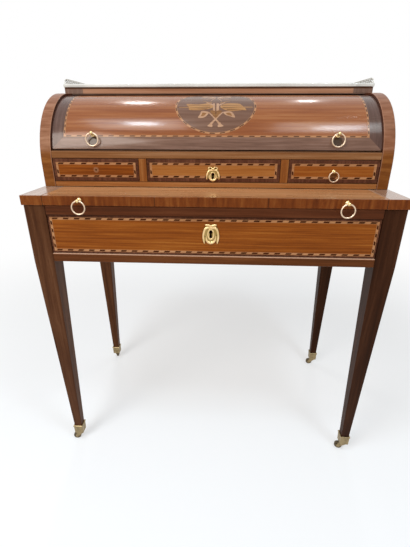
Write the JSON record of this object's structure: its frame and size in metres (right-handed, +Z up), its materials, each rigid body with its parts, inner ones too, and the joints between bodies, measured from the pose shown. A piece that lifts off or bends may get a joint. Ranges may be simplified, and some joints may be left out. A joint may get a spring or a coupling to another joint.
{
  "type": "cylinder-front writing desk",
  "caption": "Small cylinder-front writing desk on tapered legs with casters: long drawer, pull-out writing slide, small drawers, and a quarter-round fall under a galleried marble top.",
  "frame": {"origin": "on the floor, under the middle of the desk's outline", "axes": "+Z up, -Y towards the sitter, +X to the sitter's right"},
  "size_m": [0.846, 0.4754, 1.0065],
  "materials": {
    "dark_wood": "French polished mahogany",
    "tulipwood": "French polished tulipwood veneer",
    "crossband_wood": "French polished dark crossbanding",
    "drawer_lining": "bare oak",
    "gilt_brass": "worn gilding",
    "caster_brass": "dark patina",
    "lock_steel": "dull",
    "white_marble": "polished, opaque"
  },
  "bodies": {
    "desk": {"apron_back": "dark_wood", "apron_left": "tulipwood", "apron_right": "tulipwood", "case_back": "dark_wood", "case_floor": "tulipwood", "case_side_left": "crossband_wood", "case_side_right": "crossband_wood", "case_top": "crossband_wood", "drawer_carcase": "tulipwood", "gallery_back": "gilt_brass", "gallery_left": "gilt_brass", "gallery_right": "gilt_brass", "leg_front_left": "dark_wood", "leg_front_right": "dark_wood", "leg_rear_left": "dark_wood", "leg_rear_right": "dark_wood", "marble_top": "white_marble", "pigeonholes": "tulipwood", "rail_lower": "tulipwood", "rail_upper": "dark_wood", "sabot_front_left": "gilt_brass", "sabot_front_right": "gilt_brass", "sabot_rear_left": "gilt_brass", "sabot_rear_right": "gilt_brass", "table_end_left": "tulipwood", "table_end_right": "tulipwood"},
    "fall": {"cylinder_fall": "tulipwood", "fall_left_boss": "gilt_brass", "fall_right_boss": "gilt_brass"},
    "fall_ring_left": {"fall_left_ring": "gilt_brass"},
    "fall_ring_right": {"fall_right_ring": "gilt_brass"},
    "slide": {"writing_slide": "tulipwood", "slide_left_boss": "gilt_brass", "slide_right_boss": "gilt_brass"},
    "slide_ring_left": {"slide_left_ring": "gilt_brass"},
    "slide_ring_right": {"slide_right_ring": "gilt_brass"},
    "long_drawer": {"long_drawer_front": "tulipwood", "long_drawer_tray": "drawer_lining", "long_escutcheon": "gilt_brass", "long_lock": "gilt_brass"},
    "long_bolt": {"long_lock_bolt": "lock_steel"},
    "small_drawer_left": {"small_drawer_left_front": "tulipwood", "small_drawer_left_tray": "drawer_lining"},
    "small_drawer_center": {"small_drawer_center_front": "tulipwood", "small_drawer_center_tray": "drawer_lining", "center_escutcheon": "gilt_brass", "center_lock": "gilt_brass"},
    "center_bolt": {"center_lock_bolt": "lock_steel"},
    "small_drawer_right": {"small_drawer_right_front": "tulipwood", "small_drawer_right_tray": "drawer_lining", "drawer_right_boss": "gilt_brass"},
    "drawer_ring": {"drawer_right_ring": "gilt_brass"},
    "swivel_front_left": {"caster_fork_front_left": "gilt_brass"},
    "wheel_front_left": {"caster_wheel_front_left": "caster_brass"},
    "swivel_front_right": {"caster_fork_front_right": "gilt_brass"},
    "wheel_front_right": {"caster_wheel_front_right": "caster_brass"},
    "swivel_rear_left": {"caster_fork_rear_left": "gilt_brass"},
    "wheel_rear_left": {"caster_wheel_rear_left": "caster_brass"},
    "swivel_rear_right": {"caster_fork_rear_right": "gilt_brass"},
    "wheel_rear_right": {"caster_wheel_rear_right": "caster_brass"}
  },
  "joints": [
    {"name": "fall_roll", "type": "hinge", "parent": "desk", "child": "fall", "pos_m": [0, 0.06075, 0.803], "axis": [-1, 0, 0], "range_deg": [0, 60]},
    {"name": "slide_pull", "type": "slide", "parent": "desk", "child": "slide", "axis": [0, -1, 0], "range_m": [0, 0.25]},
    {"name": "long_drawer_pull", "type": "slide", "parent": "desk", "child": "long_drawer", "axis": [0, -1, 0], "range_m": [0, 0.3]},
    {"name": "small_drawer_left_pull", "type": "slide", "parent": "desk", "child": "small_drawer_left", "axis": [0, -1, 0], "range_m": [0, 0.2]},
    {"name": "small_drawer_center_pull", "type": "slide", "parent": "desk", "child": "small_drawer_center", "axis": [0, -1, 0], "range_m": [0, 0.2]},
    {"name": "small_drawer_right_pull", "type": "slide", "parent": "desk", "child": "small_drawer_right", "axis": [0, -1, 0], "range_m": [0, 0.2]},
    {"name": "long_bolt_throw", "type": "slide", "parent": "long_drawer", "child": "long_bolt", "axis": [0, 0, 1], "range_m": [0, 0.008]},
    {"name": "center_bolt_throw", "type": "slide", "parent": "small_drawer_center", "child": "center_bolt", "axis": [0, 0, 1], "range_m": [0, 0.006]},
    {"name": "fall_ring_left_swing", "type": "hinge", "parent": "fall", "child": "fall_ring_left", "pos_m": [-0.289, -0.09823, 0.87445], "axis": [-1, 0, 0], "range_deg": [0, 100]},
    {"name": "slide_ring_left_swing", "type": "hinge", "parent": "slide", "child": "slide_ring_left", "pos_m": [-0.289, -0.23355, 0.741], "axis": [-1, 0, 0], "range_deg": [-15, 100]},
    {"name": "fall_ring_right_swing", "type": "hinge", "parent": "fall", "child": "fall_ring_right", "pos_m": [0.289, -0.09823, 0.87445], "axis": [-1, 0, 0], "range_deg": [0, 100]},
    {"name": "slide_ring_right_swing", "type": "hinge", "parent": "slide", "child": "slide_ring_right", "pos_m": [0.289, -0.23355, 0.741], "axis": [-1, 0, 0], "range_deg": [-15, 100]},
    {"name": "drawer_ring_swing", "type": "hinge", "parent": "small_drawer_right", "child": "drawer_ring", "pos_m": [0.28575, -0.11156, 0.7906], "axis": [-1, 0, 0], "range_deg": [-12, 100]},
    {"name": "swivel_front_left_turn", "type": "hinge", "parent": "desk", "child": "swivel_front_left", "pos_m": [-0.396, -0.19425, 0], "axis": [0, 0, 1], "continuous": true},
    {"name": "wheel_front_left_roll", "type": "hinge", "parent": "swivel_front_left", "child": "wheel_front_left", "pos_m": [-0.40689, -0.19578, 0.01086], "axis": [-0.1392, 0.9903, 0], "continuous": true},
    {"name": "swivel_front_right_turn", "type": "hinge", "parent": "desk", "child": "swivel_front_right", "pos_m": [0.396, -0.19425, 0], "axis": [0, 0, 1], "continuous": true},
    {"name": "wheel_front_right_roll", "type": "hinge", "parent": "swivel_front_right", "child": "wheel_front_right", "pos_m": [0.38566, -0.19049, 0.01086], "axis": [0.342, 0.9397, 0], "continuous": true},
    {"name": "swivel_rear_left_turn", "type": "hinge", "parent": "desk", "child": "swivel_rear_left", "pos_m": [-0.396, 0.20975, 0], "axis": [0, 0, 1], "continuous": true},
    {"name": "wheel_rear_left_roll", "type": "hinge", "parent": "swivel_rear_left", "child": "wheel_rear_left", "pos_m": [-0.39885, 0.22037, 0.01086], "axis": [0.9659, 0.2588, 0], "continuous": true},
    {"name": "swivel_rear_right_turn", "type": "hinge", "parent": "desk", "child": "swivel_rear_right", "pos_m": [0.396, 0.20975, 0], "axis": [0, 0, 1], "continuous": true},
    {"name": "wheel_rear_right_roll", "type": "hinge", "parent": "swivel_rear_right", "child": "wheel_rear_right", "pos_m": [0.38524, 0.21204, 0.01086], "axis": [0.2079, 0.9781, 0], "continuous": true}
  ]
}
